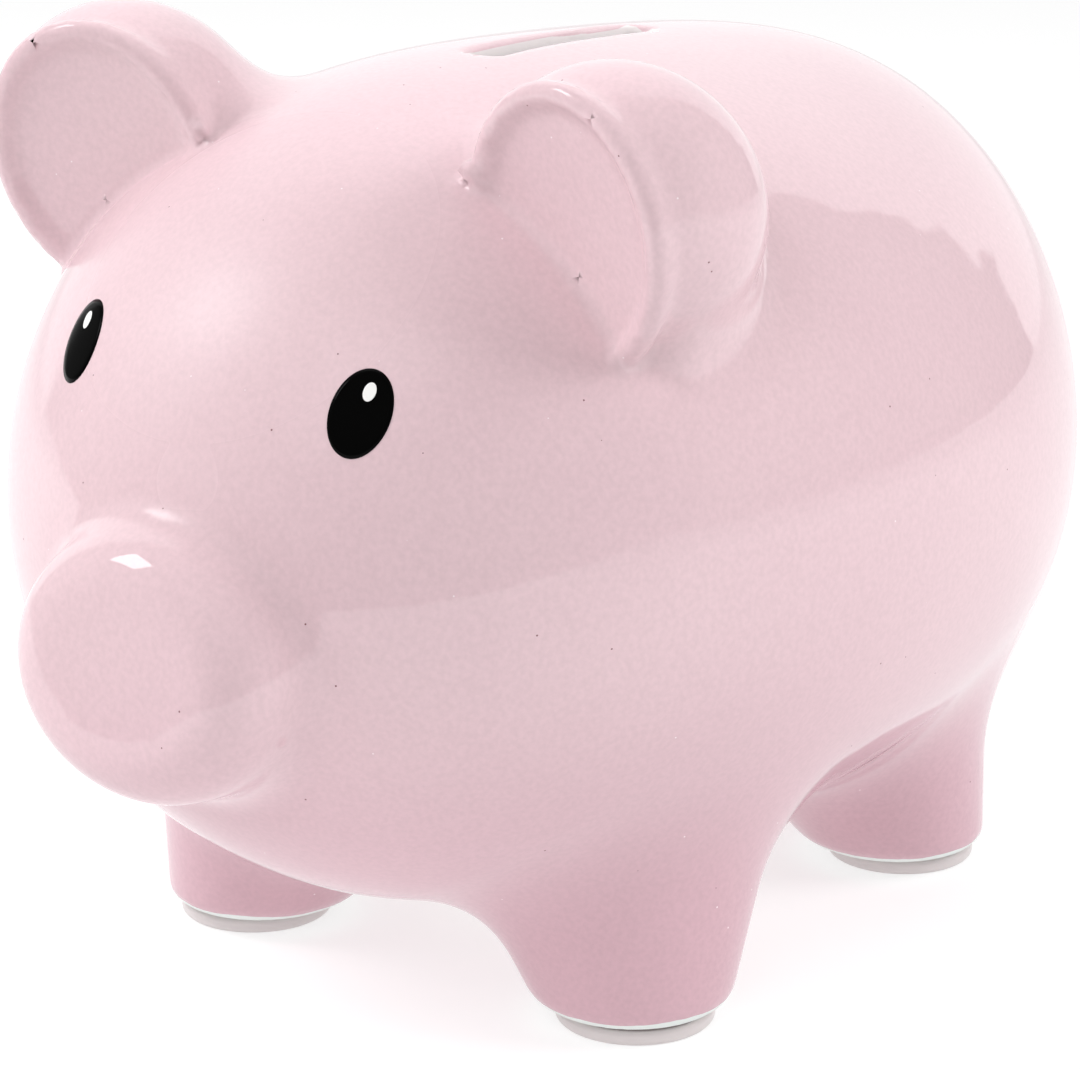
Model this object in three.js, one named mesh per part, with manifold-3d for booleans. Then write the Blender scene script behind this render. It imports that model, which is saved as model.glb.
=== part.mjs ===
// Coin bank in the shape of a pig: a hollow slip-cast ceramic body with ears and a tail luted on,
// fired-on eye decals, a soft stopper in the belly and four stick-on bumper pads.
// Millimetres, +Z up, floor at z = 0, snout towards -Y, the pig's left side at +X.
import * as THREE from 'three';
import { mergeVertices } from 'three/addons/utils/BufferGeometryUtils.js';
import Module from 'manifold-3d';

// Trunk: an egg lying along Y. Along its length t runs from -1 (face) to 1 (rump).
// Every y below is measured from the trunk's middle, which stands at trunkMidY.
const trunkHalfLength = 80;
const trunkHalfWidth = 60.8;
const trunkHalfHeight = 52.6;
const trunkMidY = 1.4;
const bellyHeight = 10.9;       // clear of the floor
const trunkMidZ = bellyHeight + trunkHalfHeight;
const widthTaper = -0.02;       // share of the half width gained per t
const widthFullness = 0.07;     // and per t squared, which fills out both ends
const heightTaper = -0.03;
const heightFullness = 0.45;
const rumpFullness = 0.26;      // extra height per t cubed, which drops the rump and lifts the chin
const trunkSlope = -2.8;        // the middle line's height falls towards the rump
const trunkArch = -4.7;         // and towards both ends

const wall = 4.2;               // thickness of the casting

// Snout: a short oval barrel, its disc tipped slightly upwards.
const snoutHalfWidth = 17.2;
const snoutHalfHeight = 14.8;
const snoutStandOff = 6.6;      // disc ahead of the face
const snoutBelowMid = 7.3;      // disc's middle below the trunk's
const snoutTilt = 7.7;          // degrees
const snoutEdge = 3;
const snoutDepth = 34;

// Bumper pads under the feet.
const padRadius = 10;
const padThickness = 2;
const padEdge = 0.8;
const filmInset = 0.4;
const filmThickness = 0.3;
const footZ = padThickness + filmThickness;

// Legs: cones that lean inwards and flare into the belly.
const footEdge = 1.6;
const footLedge = 0.7;          // flat rim of the foot left around its pad
const footRadius = padRadius + footLedge + footEdge;
const legFlare = 0.41;          // radius gained per millimetre of height
const legLeanIn = 0.32;         // sideways shift per millimetre of height
const legTopBelowMid = 19.2;    // the cones end inside the trunk, this far below its middle
const legHeight = trunkMidZ - legTopBelowMid - footZ;
const frontLeg = { x: 30.6, y: -27.7, leanY: 0.19 };
const rearLeg = { x: 28.1, y: 40.3, leanY: -0.285 };

// Ears: an egg behind the rim plane, hollowed in front. Its centre stands just off the trunk's skin.
const earAlong = -0.49;         // its t on the trunk
const earAround = 37.7;         // degrees from the top of the trunk's section
const earStandOff = 1.7;
const earRadii = new THREE.Vector3(16.5, 16.3, 20.4);
const earLean = 50.7;           // degrees, tip of the egg turned outwards
const earPitch = 24.2;
const earYaw = -1.1;
const earFaceNormal = new THREE.Vector3(-0.2, -0.966, -0.164).normalize();
const earFaceAhead = 9;         // rim plane ahead of the egg's centre
const earRim = 2.6;
const earHollowDepth = 6;

// Tail: a round strand pressed on the rump as a spiral, its tip in the middle and standing off.
const tailAboveMid = 8.5;
const tailOuterRadius = 9.5;
const tailInnerRadius = 3;
const tailTurns = 1.15;
const tailStrandRadius = 2.6;
const tailSeat = 0.9;           // strand's middle line above the rump's skin at the root
const tailLift = 3;             // how much higher it stands at the tip

// Eyes: oval decals on the face, drawn thicker than the real film and set by hand at unlike heights.
const leftEye = { x: 21.4, aboveMid: 21.8 };
const rightEye = { x: 20.7, aboveMid: 23.8 };
const eyeHalfWidth = 3.6;
const eyeHalfHeight = 5.3;
const eyeLean = 15;             // degrees, top of the oval turned outwards
const decalThickness = 0.5;

// Coin slot along the middle of the back.
const slotLength = 36;
const slotWidth = 5;
const slotMidY = -0.8;

// Belly hole, the flat land sunk around it, and the stopper that closes it.
const holeRadius = 15;
const holeY = 4;
const holeWall = 4;
const flangeOverlap = 3.4;      // how far the flange reaches past the hole
const flangeThickness = 2.2;
const landMargin = 1.6;         // play around the flange
const landDepth = 2.7;          // the land above the belly's lowest line
const landRadius = holeRadius + flangeOverlap + landMargin;
const landZ = bellyHeight + landDepth;
const neckClearance = 0.4;
const neckHeight = 9;
const neckWall = 2;
const beadRadius = 0.6;
const gripLength = 20;
const gripWidth = 4;
const gripHeight = 2.4;

const seam = 0.3;               // gap between pieces that are joined by glaze or glue

// Facets
const skinAround = 36;
const skinAlong = 26;
const hollowAround = 22;
const hollowAlong = 16;
const roundFacets = 28;

const wasm = await Module();
wasm.setup();
const radians = THREE.MathUtils.degToRad;

// A closed three.js geometry as a solid, turned the right way out.
function solidOf(geometry) {
  const bare = geometry.index ? geometry.clone() : mergeVertices(geometry.clone());
  bare.deleteAttribute('normal');
  bare.deleteAttribute('uv');
  const merged = mergeVertices(bare, 1e-4);
  const vertProperties = new Float32Array(merged.attributes.position.array);
  const corners = Array.from(merged.index.array);
  const point = (i) => new THREE.Vector3().fromArray(vertProperties, 3 * i);
  const triVerts = [];
  let volume = 0;
  for (let i = 0; i < corners.length; i += 3) {
    const [a, b, c] = corners.slice(i, i + 3);
    if (a === b || b === c || c === a) continue;
    triVerts.push(a, b, c);
    volume += point(a).dot(point(b).cross(point(c)));
  }
  if (volume < 0) triVerts.reverse();
  return new wasm.Manifold(new wasm.Mesh({ numProp: 3, vertProperties, triVerts: new Uint32Array(triVerts) }));
}

function meshOf(name, solid, material) {
  const { vertProperties, triVerts } = solid.getMesh();
  const geometry = new THREE.BufferGeometry();
  geometry.setAttribute('position', new THREE.BufferAttribute(new Float32Array(vertProperties), 3));
  geometry.setIndex(new THREE.BufferAttribute(new Uint32Array(triVerts), 1));
  geometry.computeVertexNormals();
  const mesh = new THREE.Mesh(geometry, material);
  mesh.name = name;
  return mesh;
}

function mirrored(solid) {
  return solid.mirror([1, 0, 0]);
}

// Half width, half height and middle height of the trunk at t, for a skin moved out by offset.
function trunkSection(t, offset) {
  return {
    width: (trunkHalfWidth + offset) * (1 + widthTaper * t + widthFullness * t * t),
    height: (trunkHalfHeight + offset) * (1 + heightTaper * t + heightFullness * t * t + rumpFullness * t ** 3),
    midZ: trunkMidZ + trunkSlope * t + trunkArch * t * t,
  };
}

function trunkSolid(offset, around = skinAround, along = skinAlong) {
  const geometry = new THREE.SphereGeometry(1, around, along);
  const position = geometry.attributes.position;
  for (let i = 0; i < position.count; i++) {
    const t = position.getY(i);
    const { width, height, midZ } = trunkSection(t, offset);
    position.setXYZ(
      i,
      position.getX(i) * width,
      t * (trunkHalfLength + offset),
      midZ + position.getZ(i) * height,
    );
  }
  return solidOf(geometry);
}

// Where the trunk's skin lies at x and z, on the face (end = -1) or the rump (end = 1).
function trunkEndY(x, z, end) {
  let inside = 0;
  let outside = 1;
  for (let i = 0; i < 40; i++) {
    const t = (inside + outside) / 2;
    const { width, height, midZ } = trunkSection(end * t, 0);
    const reach = (x / width) ** 2 + ((z - midZ) / height) ** 2 + t * t;
    if (reach < 1) inside = t;
    else outside = t;
  }
  return end * inside * trunkHalfLength;
}

function trunkEndNormal(x, z, end) {
  const step = 0.5;
  const slopeX = (trunkEndY(x + step, z, end) - trunkEndY(x - step, z, end)) / (2 * step);
  const slopeZ = (trunkEndY(x, z + step, end) - trunkEndY(x, z - step, end)) / (2 * step);
  return new THREE.Vector3(-slopeX, 1, -slopeZ).multiplyScalar(end).normalize();
}

// A quarter circle of profile points around a rounded edge.
function edgeArc(centreX, centreY, radius, fromDegrees, steps = 2) {
  const points = [];
  for (let i = 0; i <= steps; i++) {
    const angle = radians(fromDegrees + (90 * i) / steps);
    points.push(new THREE.Vector2(centreX + radius * Math.cos(angle), centreY + radius * Math.sin(angle)));
  }
  return points;
}

// A solid of revolution about Z from a profile of (radius, height) points that starts and ends on the axis.
function turned(profile) {
  return new THREE.LatheGeometry(profile, roundFacets).rotateX(Math.PI / 2);
}

function snoutSolid(offset) {
  const radius = snoutHalfWidth + offset;
  const profile = [
    new THREE.Vector2(0, -snoutDepth),
    new THREE.Vector2(radius, -snoutDepth),
    ...edgeArc(radius - snoutEdge, offset - snoutEdge, snoutEdge, 0),
    new THREE.Vector2(0, offset),
  ];
  const geometry = turned(profile);
  geometry.scale(1, (snoutHalfHeight + offset) / radius, 1);
  geometry.rotateX(Math.PI / 2 - radians(snoutTilt));
  geometry.translate(0, -trunkHalfLength - snoutStandOff, trunkMidZ - snoutBelowMid);
  return solidOf(geometry);
}

function legSolid(leg, side, offset) {
  const bottomRadius = footRadius + offset;
  const bottom = -offset;
  const profile = [
    new THREE.Vector2(0, bottom),
    ...edgeArc(bottomRadius - footEdge, bottom + footEdge, footEdge, -90),
    new THREE.Vector2(bottomRadius + legFlare * legHeight, legHeight),
    new THREE.Vector2(0, legHeight),
  ];
  const geometry = turned(profile);
  geometry.applyMatrix4(new THREE.Matrix4().makeShear(0, 0, 0, 0, -side * legLeanIn, leg.leanY));
  geometry.translate(side * leg.x, leg.y, footZ);
  return solidOf(geometry);
}

function legs(offset) {
  let all = null;
  for (const leg of [frontLeg, rearLeg]) {
    for (const side of [1, -1]) {
      const one = legSolid(leg, side, offset);
      all = all ? all.add(one) : one;
    }
  }
  return all;
}

function cylinderZ(radius, low, high, y) {
  const geometry = new THREE.CylinderGeometry(radius, radius, high - low, roundFacets);
  geometry.rotateX(Math.PI / 2);
  geometry.translate(0, y, (low + high) / 2);
  return solidOf(geometry);
}

// An upright bar with round ends, its length along Y.
function roundBar(length, width, low, high, y) {
  const radius = width / 2;
  const reach = length / 2 - radius;
  const outline = new THREE.Shape();
  outline.absarc(0, reach, radius, 0, Math.PI, false);
  outline.absarc(0, -reach, radius, Math.PI, 2 * Math.PI, false);
  outline.closePath();
  const geometry = new THREE.ExtrudeGeometry(outline, { depth: high - low, bevelEnabled: false, curveSegments: 5 });
  geometry.translate(0, y, low);
  return solidOf(geometry);
}

// The casting: trunk, snout and legs in one piece, hollow all through, with the slot and the belly hole.
function bodyShell() {
  const outside = trunkSolid(0).add(snoutSolid(0)).add(legs(0));
  const hollow = trunkSolid(-wall, hollowAround, hollowAlong).add(snoutSolid(-wall)).add(legs(-wall));
  const thickenedRing = cylinderZ(landRadius + wall, 0, landZ + holeWall, holeY);
  const topZ = trunkMidZ + trunkHalfHeight;
  const slot = roundBar(slotLength, slotWidth, topZ - 5 * wall, topZ + wall, slotMidY);
  const hole = cylinderZ(holeRadius, 0, landZ + 3 * wall, holeY);
  const land = cylinderZ(landRadius, 0, landZ, holeY);
  return outside.subtract(hollow.subtract(thickenedRing)).subtract(slot).subtract(hole).subtract(land);
}

const earTurn = new THREE.Matrix4()
  .makeRotationZ(radians(earYaw))
  .multiply(new THREE.Matrix4().makeRotationX(radians(earPitch)))
  .multiply(new THREE.Matrix4().makeRotationY(radians(earLean)));

function ear() {
  const { width, height, midZ } = trunkSection(earAlong, earStandOff);
  const girth = Math.sqrt(1 - earAlong ** 2);
  const centre = new THREE.Vector3(
    width * girth * Math.sin(radians(earAround)),
    earAlong * (trunkHalfLength + earStandOff),
    midZ + height * girth * Math.cos(radians(earAround)),
  );
  const egg = new THREE.SphereGeometry(1, 24, 16);
  egg.scale(earRadii.x, earRadii.y, earRadii.z);
  egg.applyMatrix4(earTurn);
  egg.translate(centre.x, centre.y, centre.z);

  const faceTurn = new THREE.Quaternion().setFromUnitVectors(new THREE.Vector3(0, -1, 0), earFaceNormal);
  const faceCentre = centre.clone().addScaledVector(earFaceNormal, earFaceAhead);
  const cutSize = 4 * earRadii.z;
  const ahead = new THREE.BoxGeometry(cutSize, cutSize, cutSize);
  ahead.translate(0, -cutSize / 2, 0);
  ahead.applyQuaternion(faceTurn);
  ahead.translate(faceCentre.x, faceCentre.y, faceCentre.z);

  const narrowing = Math.sqrt(1 - (earFaceAhead / earRadii.y) ** 2);
  const bowl = new THREE.SphereGeometry(1, 18, 12);
  bowl.scale(earRadii.x * narrowing - earRim, earHollowDepth, earRadii.z * narrowing - earRim);
  bowl.applyMatrix4(new THREE.Matrix4().makeRotationY(radians(earLean)));
  bowl.applyQuaternion(faceTurn);
  bowl.translate(faceCentre.x, faceCentre.y, faceCentre.z);

  return solidOf(egg).subtract(solidOf(ahead)).subtract(solidOf(bowl)).subtract(trunkSolid(seam));
}

class TailSpiral extends THREE.Curve {
  getPoint(t, target = new THREE.Vector3()) {
    const angle = 2 * Math.PI * tailTurns * t;
    const radius = THREE.MathUtils.lerp(tailOuterRadius, tailInnerRadius, t);
    const x = radius * Math.sin(angle);
    const z = trunkMidZ + tailAboveMid - radius * Math.cos(angle);
    return target.set(x, trunkEndY(x, z, 1) + tailSeat + tailLift * t, z);
  }
}

function tail() {
  const spiral = new TailSpiral();
  const section = new THREE.Shape();
  section.absarc(0, 0, tailStrandRadius, 0, 2 * Math.PI, false);
  const strand = new THREE.ExtrudeGeometry(section, { steps: 30, curveSegments: 5, extrudePath: spiral });
  const tip = new THREE.SphereGeometry(tailStrandRadius, 10, 8);
  const end = spiral.getPoint(1);
  tip.translate(end.x, end.y, end.z);
  return solidOf(strand).add(solidOf(tip)).subtract(trunkSolid(seam));
}

// The decal of an eye on the pig's left side; the right one is turned over afterwards.
function eyeDecal(eye) {
  const z = trunkMidZ + eye.aboveMid;
  const normal = trunkEndNormal(eye.x, z, -1);
  const centre = new THREE.Vector3(eye.x, trunkEndY(eye.x, z, -1), z);
  const up = new THREE.Vector3(0, 0, 1).projectOnPlane(normal).normalize();
  const across = new THREE.Vector3().crossVectors(up, normal);
  const column = new THREE.CylinderGeometry(1, 1, 4 * wall, 24);
  column.scale(eyeHalfWidth, 1, eyeHalfHeight);
  column.rotateY(radians(eyeLean));
  column.applyMatrix4(new THREE.Matrix4().makeBasis(across, normal, up));
  column.translate(centre.x, centre.y, centre.z);
  const film = trunkSolid(seam + decalThickness).subtract(trunkSolid(seam));
  return solidOf(column).intersect(film);
}

function stopper() {
  const flangeZ = landZ - flangeThickness;
  const neckRadius = holeRadius - neckClearance - beadRadius;
  const topZ = landZ + neckHeight;
  const beadZ = landZ + holeWall + 2 * beadRadius;
  const profile = [
    new THREE.Vector2(0, flangeZ),
    new THREE.Vector2(holeRadius + flangeOverlap, flangeZ),
    new THREE.Vector2(holeRadius + flangeOverlap, landZ),
    new THREE.Vector2(neckRadius, landZ),
    new THREE.Vector2(neckRadius, beadZ - beadRadius),
    ...edgeArc(neckRadius, beadZ, beadRadius, -90),
    ...edgeArc(neckRadius, beadZ, beadRadius, 0).slice(1),
    new THREE.Vector2(neckRadius, topZ),
    new THREE.Vector2(neckRadius - neckWall, topZ),
    new THREE.Vector2(neckRadius - neckWall, landZ + neckWall),
    new THREE.Vector2(0, landZ + neckWall),
  ];
  const cup = turned(profile);
  cup.translate(0, holeY, 0);
  const grip = roundBar(gripLength, gripWidth, flangeZ - gripHeight, flangeZ + flangeThickness / 2, holeY);
  return solidOf(cup).add(grip);
}

function footPad() {
  const profile = [
    new THREE.Vector2(0, 0),
    ...edgeArc(padRadius - padEdge, padEdge, padEdge, -90),
    new THREE.Vector2(padRadius, padThickness),
    new THREE.Vector2(0, padThickness),
  ];
  return solidOf(turned(profile));
}

function padFilm() {
  return cylinderZ(padRadius - filmInset, padThickness, footZ, 0);
}

const glaze = () => new THREE.MeshStandardMaterial({ color: 0xebcdd3, roughness: 0.12, metalness: 0 });
const eyeInk = () => new THREE.MeshStandardMaterial({ color: 0x0b0a0c, roughness: 0.1, metalness: 0 });
const clearSoft = () => new THREE.MeshStandardMaterial({ color: 0xe6dfe0, roughness: 0.35, metalness: 0 });
const glueFilm = () => new THREE.MeshStandardMaterial({ color: 0xd9d3cf, roughness: 0.6, metalness: 0 });
const stopperSoft = () => new THREE.MeshStandardMaterial({ color: 0xe9e7e4, roughness: 0.5, metalness: 0 });

const pieces = new THREE.Group();
pieces.position.y = trunkMidY;
pieces.add(meshOf('body_shell', bodyShell(), glaze()));

const leftEar = ear();
pieces.add(meshOf('ear_left', leftEar, glaze()));
pieces.add(meshOf('ear_right', mirrored(leftEar), glaze()));
pieces.add(meshOf('tail', tail(), glaze()));

pieces.add(meshOf('eye_left', eyeDecal(leftEye), eyeInk()));
pieces.add(meshOf('eye_right', mirrored(eyeDecal(rightEye)), eyeInk()));

pieces.add(meshOf('stopper_plug', stopper(), stopperSoft()));

for (const [end, leg] of [['front', frontLeg], ['rear', rearLeg]]) {
  for (const [hand, side] of [['left', 1], ['right', -1]]) {
    const pad = meshOf(`foot_pad_${end}_${hand}`, footPad(), clearSoft());
    const film = meshOf(`pad_adhesive_${end}_${hand}`, padFilm(), glueFilm());
    for (const piece of [pad, film]) {
      piece.position.set(side * leg.x, leg.y, 0);
      pieces.add(piece);
    }
  }
}

const bank = new THREE.Group();
bank.add(pieces);

export default bank;
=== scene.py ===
import math
import bpy
import bmesh
import numpy as np
from mathutils import Matrix, Vector


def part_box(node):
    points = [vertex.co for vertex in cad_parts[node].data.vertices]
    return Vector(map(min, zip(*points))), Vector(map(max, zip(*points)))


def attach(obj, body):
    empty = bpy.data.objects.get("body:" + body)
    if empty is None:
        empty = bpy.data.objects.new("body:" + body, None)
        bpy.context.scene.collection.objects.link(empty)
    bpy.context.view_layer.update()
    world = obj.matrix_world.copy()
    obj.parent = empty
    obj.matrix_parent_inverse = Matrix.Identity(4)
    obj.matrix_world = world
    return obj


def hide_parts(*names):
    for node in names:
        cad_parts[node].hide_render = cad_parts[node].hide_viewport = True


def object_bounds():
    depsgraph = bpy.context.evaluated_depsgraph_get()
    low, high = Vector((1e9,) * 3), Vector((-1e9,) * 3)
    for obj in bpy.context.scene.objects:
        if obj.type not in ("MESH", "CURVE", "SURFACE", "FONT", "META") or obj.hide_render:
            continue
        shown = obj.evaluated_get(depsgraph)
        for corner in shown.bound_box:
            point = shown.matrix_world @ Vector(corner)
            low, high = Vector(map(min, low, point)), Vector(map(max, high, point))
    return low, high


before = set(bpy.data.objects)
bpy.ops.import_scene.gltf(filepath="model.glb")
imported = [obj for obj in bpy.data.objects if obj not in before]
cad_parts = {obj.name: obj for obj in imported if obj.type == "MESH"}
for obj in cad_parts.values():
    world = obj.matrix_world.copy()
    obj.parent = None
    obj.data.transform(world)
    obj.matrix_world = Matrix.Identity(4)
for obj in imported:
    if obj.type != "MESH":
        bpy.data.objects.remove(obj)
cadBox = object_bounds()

mm = 0.001               # the shapes below are worked out in millimetres
scene = bpy.context.scene


def boxOf(node):
    low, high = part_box(node)
    return np.array(low) / mm, np.array(high) / mm


def middleOf(node):
    low, high = boxOf(node)
    return (low + high) / 2


def linear(hexColour):
    parts = [int(hexColour[i:i + 2], 16) / 255 for i in (1, 3, 5)]
    return tuple(p / 12.92 if p <= 0.04045 else ((p + 0.055) / 1.055) ** 2.4 for p in parts) + (1.0,)


def addNode(tree, kind, settings=None, **inputs):
    # inputs are values, or (node, output) pairs to link from; names or numbers pick the socket
    node = tree.nodes.new(kind)
    for name, value in (settings or {}).items():
        setattr(node, name, value)
    for name, value in inputs.items():
        key = int(name[1:]) if name[0] == "i" and name[1:].isdigit() else name.replace("_", " ")
        if isinstance(value, tuple) and isinstance(value[0], bpy.types.Node):
            tree.links.new(value[0].outputs[value[1]], node.inputs[key])
        else:
            node.inputs[key].default_value = value
    return node


def perMetre(size):
    # a pattern's scale from the size in millimetres of one of its cells
    return 1 / (size * mm)


def newMaterial(name):
    material = bpy.data.materials.new(name)
    material.use_nodes = True
    material.node_tree.nodes.clear()
    return material, material.node_tree


def finishMaterial(tree, shader):
    addNode(tree, "ShaderNodeOutputMaterial", Surface=(shader, "BSDF"))


# the casting is one distance field in millimetres: negative in the clay, positive in the air
egg = {
    "halfLength": 80.0, "halfWidth": 60.8, "halfHeight": 52.6, "midY": 1.4, "midZ": 63.5,
    "widthTaper": -0.02, "widthFullness": 0.07,
    "heightTaper": -0.03, "heightFullness": 0.45, "rumpFullness": 0.26,
    "slope": -2.8, "arch": -4.7, "wall": 4.2,
}
snout = {
    "halfWidth": 19.2, "halfHeight": 16.4, "standOff": 8.0, "belowMid": 7.8,
    "tilt": 7.7, "edge": 7.8, "depth": 34.0, "blend": 3.6,
}
leg = {
    "floorRadius": 11.4, "flare": 0.408, "leanIn": 0.32, "frontLeanY": 0.19, "rearLeanY": -0.285,
    "height": 45.0, "edge": 2.2, "blend": 8.0,            # flare and leans are per mm of height
}
earShape = {
    "along": -0.49, "around": 37.7, "standOff": 1.7, "radii": (18.3, 16.3, 18.6), "shift": (2.5, -0.7),
    "lean": 50.7, "pitch": 24.2, "yaw": -1.1, "faceNormal": (-0.2, -0.966, -0.164),
    "faceAhead": 9.0, "rimLong": 17.6, "rimShort": 15.6, "rimTurn": 45.0, "rim": 1.5, "hollowDepth": 1.3,
    "lip": 1.35, "lipSink": 0.8, "backTrim": 0.9, "faceBlend": 2.0, "bowlBlend": 1.5, "lipBlend": 1.6,
    "creaseBlend": 1.2, "backBlend": 8.0, "blendDepth": 8.0,
}
glazeBead = {"x": 20.2, "y": -46.2, "z": 109.1, "radius": 1.2, "blend": 0.5}     # at each ear's inner root
openings = {"slotLength": 36.0, "slotWidth": 5.0, "slotMidY": 0.6, "slotSoftness": 1.0,
            "holeRadius": 15.0, "landRadius": 20.0, "landZ": 13.6, "holeWall": 4.0, "holeSoftness": 0.8}
tailShape = {
    "aboveMid": 8.5, "outer": 9.5, "inner": 3.0, "turns": 1.15, "strand": 2.6, "seat": 0.9, "lift": 3.0,
    "taper": 0.35, "points": 48, "blend": 1.6,
}
cavity = {"snoutBlend": 8.0, "legBlend": 6.0, "landBlend": 2.0, "rimBlend": 1.0}
casting = {
    "step": 1.15, "margin": 3.0, "keep": 0.6,
    "rounds": 4, "leastSlope": 0.6, "longestMove": 0.4, "evening": 0.35,
}


def smoothMin(a, b, k):
    h = np.clip(0.5 + 0.5 * (b - a) / k, 0, 1)
    return b + (a - b) * h - k * h * (1 - h)


def smoothMax(a, b, k):
    return -smoothMin(-a, -b, k)


def trunkSection(t, offset):
    t = np.clip(t, -1.15, 1.15)
    width = (egg["halfWidth"] + offset) * (1 + egg["widthTaper"] * t + egg["widthFullness"] * t * t)
    height = (egg["halfHeight"] + offset) * (
        1 + egg["heightTaper"] * t + egg["heightFullness"] * t * t + egg["rumpFullness"] * t ** 3)
    return width, height, egg["midZ"] + egg["slope"] * t + egg["arch"] * t * t


def trunkField(x, y, z, offset=0.0):
    # offset grows or shrinks the shape, so a negative one gives the inside of the wall
    length = egg["halfLength"] + offset
    t = (y - egg["midY"]) / length
    width, height, midZ = trunkSection(t, offset)
    u, w = x / width, (z - midZ) / height
    reach = np.sqrt(u * u + t * t + w * w) + 1e-9
    slope = np.sqrt((u / width) ** 2 + (t / length) ** 2 + (w / height) ** 2) / reach + 1e-9
    return (reach - 1) / slope * np.where(reach < 0.4, 0.4, 1)


def snoutField(x, y, z, offset=0.0):
    tilt = math.radians(snout["tilt"])
    faceY = egg["midY"] - egg["halfLength"] - snout["standOff"]
    faceZ = egg["midZ"] - snout["belowMid"]
    dy, dz = y - faceY, z - faceZ
    ahead = -dy * math.cos(tilt) + dz * math.sin(tilt)
    up = dy * math.sin(tilt) + dz * math.cos(tilt)
    a, b = snout["halfWidth"] + offset, snout["halfHeight"] + offset
    reach = np.sqrt((x / a) ** 2 + (up / b) ** 2) + 1e-9
    slope = np.sqrt((x / a ** 2) ** 2 + (up / b ** 2) ** 2) / reach + 1e-9
    edge = snout["edge"]
    side = (reach - 1) / slope + edge
    ends = np.abs(ahead + snout["depth"] / 2 - offset / 2) - snout["depth"] / 2 - offset / 2 + edge
    outer = np.sqrt(np.maximum(side, 0) ** 2 + np.maximum(ends, 0) ** 2)
    return np.minimum(np.maximum(side, ends), 0) + outer - edge


feet = {"front": middleOf("foot_pad_front_left"), "rear": middleOf("foot_pad_rear_left")}
footZ = boxOf("body_shell")[0][2]


def legField(x, y, z, end, offset=0.0):
    x = np.abs(x)
    share = np.clip(z, 0, leg["height"])
    centreX = feet[end][0] - leg["leanIn"] * share
    centreY = feet[end][1] + leg[end + "LeanY"] * share
    radius = leg["floorRadius"] + offset + leg["flare"] * share
    edge = leg["edge"]
    side = np.hypot(x - centreX, y - centreY) - radius + edge
    low = footZ - offset
    ends = np.abs(z - (leg["height"] + low) / 2) - (leg["height"] - low) / 2 + edge
    outer = np.sqrt(np.maximum(side, 0) ** 2 + np.maximum(ends, 0) ** 2)
    return np.minimum(np.maximum(side, ends), 0) + outer - edge


def earFrame():
    width, height, midZ = trunkSection(earShape["along"], earShape["standOff"])
    girth = math.sqrt(1 - earShape["along"] ** 2)
    around = math.radians(earShape["around"])
    centre = np.array([
        width * girth * math.sin(around),
        egg["midY"] + earShape["along"] * (egg["halfLength"] + earShape["standOff"]),
        midZ + height * girth * math.cos(around)])
    turn = (Matrix.Rotation(math.radians(earShape["yaw"]), 3, "Z")
            @ Matrix.Rotation(math.radians(earShape["pitch"]), 3, "X")
            @ Matrix.Rotation(math.radians(earShape["lean"]), 3, "Y"))
    normal = np.array(earShape["faceNormal"])
    normal /= np.linalg.norm(normal)
    tall = np.array(turn @ Vector((0, 0, 1)))
    tall -= normal * tall.dot(normal)
    tall /= np.linalg.norm(tall)
    across = np.cross(normal, tall)
    centre += earShape["shift"][0] * tall + earShape["shift"][1] * across
    return centre, np.array(turn), normal, tall, across


earCentre, earTurn, earNormal, earTall, earAcross = earFrame()


def ellipsoidField(x, y, z, radii):
    u, v, w = x / radii[0], y / radii[1], z / radii[2]
    reach = np.sqrt(u * u + v * v + w * w) + 1e-9
    slope = np.sqrt((u / radii[0]) ** 2 + (v / radii[1]) ** 2 + (w / radii[2]) ** 2) / reach + 1e-9
    return (reach - 1) / slope


def earFields(x, y, z):
    # returns the ear's own distance and how far a point lies ahead of its rim plane
    dx, dy, dz = np.abs(x) - earCentre[0], y - earCentre[1], z - earCentre[2]
    local = [dx * earTurn[0][i] + dy * earTurn[1][i] + dz * earTurn[2][i] for i in range(3)]
    back = ellipsoidField(*local, [r - earShape["backTrim"] for r in earShape["radii"]])
    ahead = dx * earNormal[0] + dy * earNormal[1] + dz * earNormal[2] - earShape["faceAhead"]
    turn = math.radians(earShape["rimTurn"])
    longWay = earTall * math.cos(turn) + earAcross * math.sin(turn)
    shortWay = earAcross * math.cos(turn) - earTall * math.sin(turn)
    tall = dx * longWay[0] + dy * longWay[1] + dz * longWay[2]
    across = dx * shortWay[0] + dy * shortWay[1] + dz * shortWay[2]
    rimLong, rimShort, rim, lip = (earShape[k] for k in ("rimLong", "rimShort", "rim", "lip"))
    cup = smoothMax(back, ahead, earShape["faceBlend"])
    bowl = ellipsoidField(tall, across, ahead, (rimLong - rim, rimShort - rim, earShape["hollowDepth"]))
    cup = smoothMax(cup, -bowl, earShape["bowlBlend"])
    ringLong, ringShort = rimLong - lip, rimShort - lip
    reach = np.sqrt((tall / ringLong) ** 2 + (across / ringShort) ** 2) + 1e-9
    slope = np.sqrt((tall / ringLong ** 2) ** 2 + (across / ringShort ** 2) ** 2) / reach + 1e-9
    ring = np.hypot((reach - 1) / slope, ahead + lip * earShape["lipSink"]) - lip
    return smoothMin(cup, ring, earShape["lipBlend"]), ahead


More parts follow.
